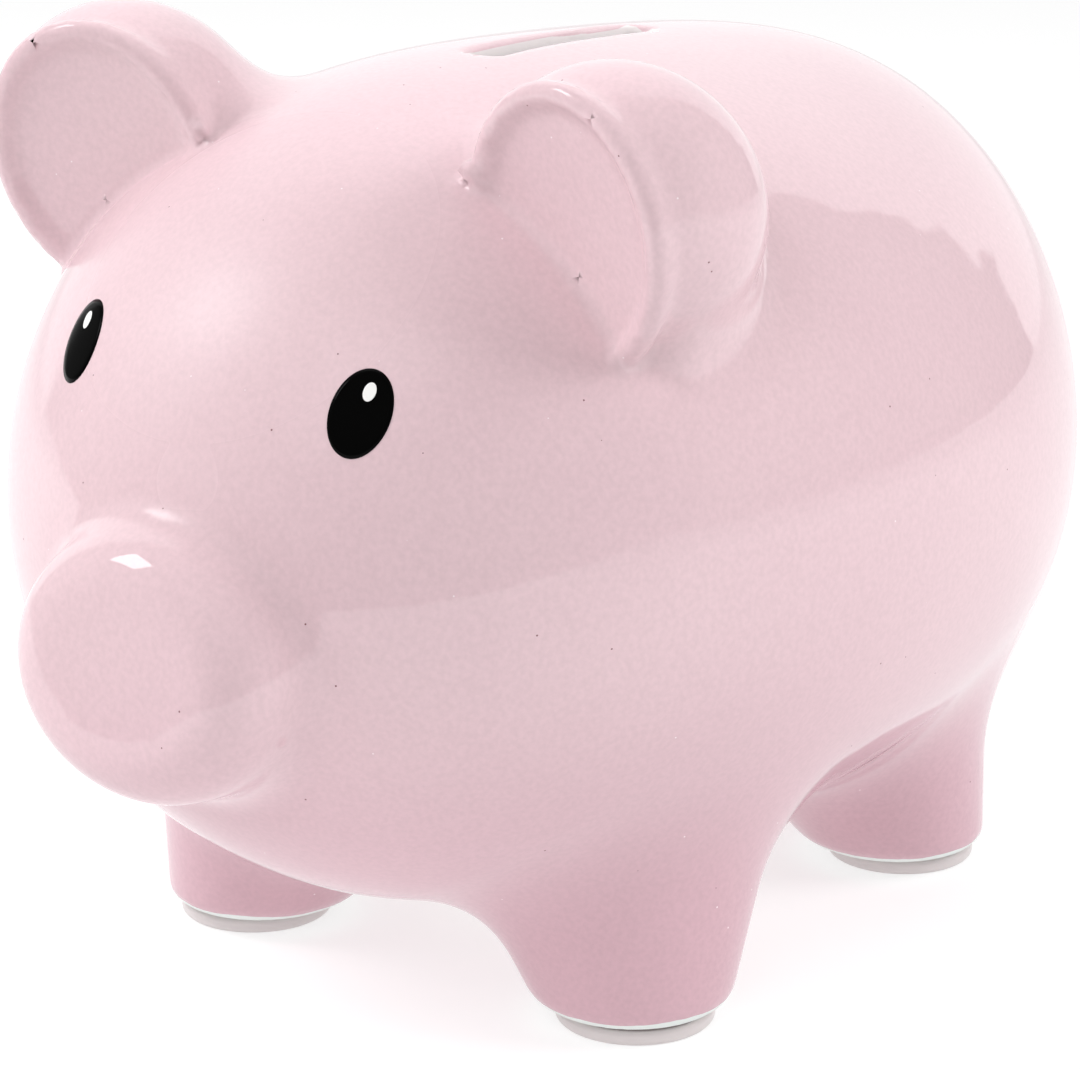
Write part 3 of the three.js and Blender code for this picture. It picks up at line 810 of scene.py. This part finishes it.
def makeStopper():
    low, high = boxOf("stopper_plug")
    middle = (low + high) / 2
    flange = (high[0] - low[0]) / 2
    made = spunPiece("belly_stopper", middle, stopperProfile(high[2], flange))
    vinyl = vinylMaterial()
    made.data.materials.append(vinyl)
    gap = (high[2] - openings["landZ"] - plug["ribTopGap"]) / plug["ribs"]
    lowest = (middle[0], middle[1], openings["landZ"] + plug["ribStart"])
    ribs = grow("stopper_ribs", [lowest], ribTree("rib_tree", vinyl), {
        "Neck": (plug["neckRadius"] - 0.1) * mm, "Rise": plug["ribRise"] * mm, "Gap": float(gap) * mm,
        "Count": plug["ribs"]})
    grip = bmesh.new()
    bmesh.ops.create_cube(grip, size=1.0)
    bmesh.ops.scale(grip, vec=(plug["gripLength"], plug["gripWidth"], plug["gripHeight"]), verts=grip.verts)
    bmesh.ops.bevel(grip, geom=grip.edges[:], offset=plug["gripRound"], segments=4, profile=0.5,
                    affect="EDGES")
    bmesh.ops.translate(grip, vec=(middle[0], middle[1], low[2] + plug["gripHeight"] / 2), verts=grip.verts)
    bmesh.ops.scale(grip, vec=(mm, mm, mm), verts=grip.verts)
    grip.from_mesh(made.data)
    grip.from_mesh(ribs.data)
    bpy.data.objects.remove(ribs)
    bmesh.ops.recalc_face_normals(grip, faces=grip.faces[:])
    grip.to_mesh(made.data)
    grip.free()
    made.data.shade_smooth()
    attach(made, "stopper")
    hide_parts("stopper_plug")


makeStopper()
print("stopper fitted")


view = {
    "azimuth": 35.92, "elevation": 16.82, "distance": 499.96, "target": (8.25, -15.67, 56.02),
    "sensor": 36.0, "lens": 132.3233,
}


def fromMiddle(azimuth, elevation):
    # unit vector towards a place in the studio; azimuth 0 is in front of the snout
    azimuth, elevation = math.radians(azimuth), math.radians(elevation)
    return Vector((math.sin(azimuth) * math.cos(elevation), -math.cos(azimuth) * math.cos(elevation),
                   math.sin(elevation)))


def makeCamera():
    back = fromMiddle(view["azimuth"], view["elevation"])
    data = bpy.data.cameras.new("studio_camera")
    data.sensor_fit = "HORIZONTAL"
    data.sensor_width = view["sensor"]
    data.lens = view["lens"]
    data.clip_start = 0.02
    camera = bpy.data.objects.new("studio_camera", data)
    scene.collection.objects.link(camera)
    camera.location = (Vector(view["target"]) + back * view["distance"]) * mm
    camera.rotation_euler = back.to_track_quat("Z", "Y").to_euler()
    scene.camera = camera


paperSweep = {"reach": 2500.0, "front": -330.0, "white": 0.42, "glow": 0.66}


def makeFloor():
    # bright matt paper, clear from below so that the underside can be looked at
    reach, front = paperSweep["reach"], paperSweep["front"]
    corner = np.array([(-reach, front, 0.0), (reach, front, 0.0), (reach, reach, 0.0), (-reach, reach, 0.0)])
    floor = meshObject("studio_floor", corner, [(0, 1, 2, 3)], smooth=False)
    material, tree = newMaterial("whitePaperSweep")
    white = paperSweep["white"]
    paper = addNode(tree, "ShaderNodeBsdfPrincipled", Base_Color=(white, white, white, 1), Roughness=0.95,
                    Emission_Color=(1, 1, 1, 1), Emission_Strength=paperSweep["glow"])
    paper.inputs["Specular IOR Level"].default_value = 0.0
    clear = addNode(tree, "ShaderNodeBsdfTransparent")
    side = addNode(tree, "ShaderNodeNewGeometry")
    mix = addNode(tree, "ShaderNodeMixShader", Fac=(side, "Backfacing"), i1=(paper, 0), i2=(clear, 0))
    addNode(tree, "ShaderNodeOutputMaterial", Surface=(mix, 0))
    floor.data.materials.append(material)


studio = {
    "room": 0.22, "backdrop": 1.12, "backdropFacing": 38.5, "backdropHalfWidth": 46.5, "backdropTop": 75.0,
    "sideSoftness": 0.03, "topSoftness": 0.1, "folds": 9.0, "foldDepth": 0.5,
}


def makeWorld():
    # a bright backdrop behind the object and a dim room all round; the backdrop's sides hang in folds
    world = bpy.data.worlds.new("studio")
    scene.world = world
    world.use_nodes = True
    tree = world.node_tree
    tree.nodes.clear()
    azimuth = math.radians(studio["backdropFacing"])
    away = (-math.sin(azimuth), math.cos(azimuth), 0.0)
    aside = (math.cos(azimuth), math.sin(azimuth), 0.0)
    ray = addNode(tree, "ShaderNodeTexCoord")
    ahead, side, up = [
        addNode(tree, "ShaderNodeVectorMath", {"operation": "DOT_PRODUCT"}, i0=(ray, "Generated"), i1=axis)
        for axis in (away, aside, (0, 0, 1))]
    front = addNode(tree, "ShaderNodeMath", {"operation": "MAXIMUM"}, i0=(ahead, "Value"), i1=0.001)
    slant = addNode(tree, "ShaderNodeMath", {"operation": "DIVIDE"}, i0=(side, "Value"), i1=(front, 0))
    width = addNode(tree, "ShaderNodeMath", {"operation": "ABSOLUTE"}, i0=(slant, 0))
    folds = addNode(tree, "ShaderNodeTexNoise", Vector=(ray, "Generated"), Scale=studio["folds"], Detail=3.0)
    width = addNode(tree, "ShaderNodeMath", {"operation": "MULTIPLY_ADD"}, i0=(folds, "Fac"),
                    i1=studio["foldDepth"], i2=(width, 0))
    width = addNode(tree, "ShaderNodeMath", {"operation": "SUBTRACT"}, i0=(width, 0),
                    i1=studio["foldDepth"] / 2)
    reach = math.tan(math.radians(studio["backdropHalfWidth"]))
    across = addNode(tree, "ShaderNodeMapRange", {"interpolation_type": "SMOOTHSTEP"}, Value=(width, 0),
                     From_Min=reach * (1 - studio["sideSoftness"]),
                     From_Max=reach * (1 + studio["sideSoftness"]), To_Min=1.0, To_Max=0.0)
    height = addNode(tree, "ShaderNodeMath", {"operation": "DIVIDE"}, i0=(up, "Value"), i1=(front, 0))
    top = math.tan(math.radians(studio["backdropTop"]))
    upright = addNode(tree, "ShaderNodeMapRange", {"interpolation_type": "SMOOTHSTEP"}, Value=(height, 0),
                      From_Min=top * (1 - studio["topSoftness"]),
                      From_Max=top * (1 + studio["topSoftness"]), To_Min=1.0, To_Max=0.0)
    mask = addNode(tree, "ShaderNodeMath", {"operation": "MULTIPLY"}, i0=(across, 0), i1=(upright, 0))
    facing = addNode(tree, "ShaderNodeMath", {"operation": "GREATER_THAN"}, i0=(ahead, "Value"), i1=0.0)
    wall = addNode(tree, "ShaderNodeMath", {"operation": "MULTIPLY"}, i0=(mask, 0), i1=(facing, 0))
    level = addNode(tree, "ShaderNodeMapRange", Value=(wall, 0), To_Min=studio["room"],
                    To_Max=studio["backdrop"])
    sky = addNode(tree, "ShaderNodeBackground", Color=(1, 1, 1, 1), Strength=(level, 0))
    addNode(tree, "ShaderNodeOutputWorld", Surface=(sky, 0))


lamps = {
    # name: azimuth and elevation it stands at, distance, size and power, seen in reflections or not
    "left_softbox": (-60, 35, 900, 500, 3.8, False),
    "front_softbox": (15, 40, 900, 500, 3.0, False),
    "right_softbox": (120, 32, 900, 500, 4.6, False),
    "rear_softbox": (210, 65, 900, 500, 0.6, False),
    "strobe": (-50, 41, 900, 230, 1.2, True),
}


def makeLamps():
    for name, (azimuth, elevation, distance, size, power, mirrored) in lamps.items():
        back = fromMiddle(azimuth, elevation)
        data = bpy.data.lights.new(name, "AREA")
        data.shape = "SQUARE"
        data.size = size * mm
        data.energy = power
        lamp = bpy.data.objects.new(name, data)
        scene.collection.objects.link(lamp)
        lamp.location = (back * distance + Vector((0, 0, 50))) * mm
        lamp.rotation_euler = back.to_track_quat("Z", "Y").to_euler()
        lamp.visible_glossy = mirrored


makeCamera()
makeFloor()
makeWorld()
makeLamps()
scene.view_settings.view_transform = "Standard"
print("studio ready")
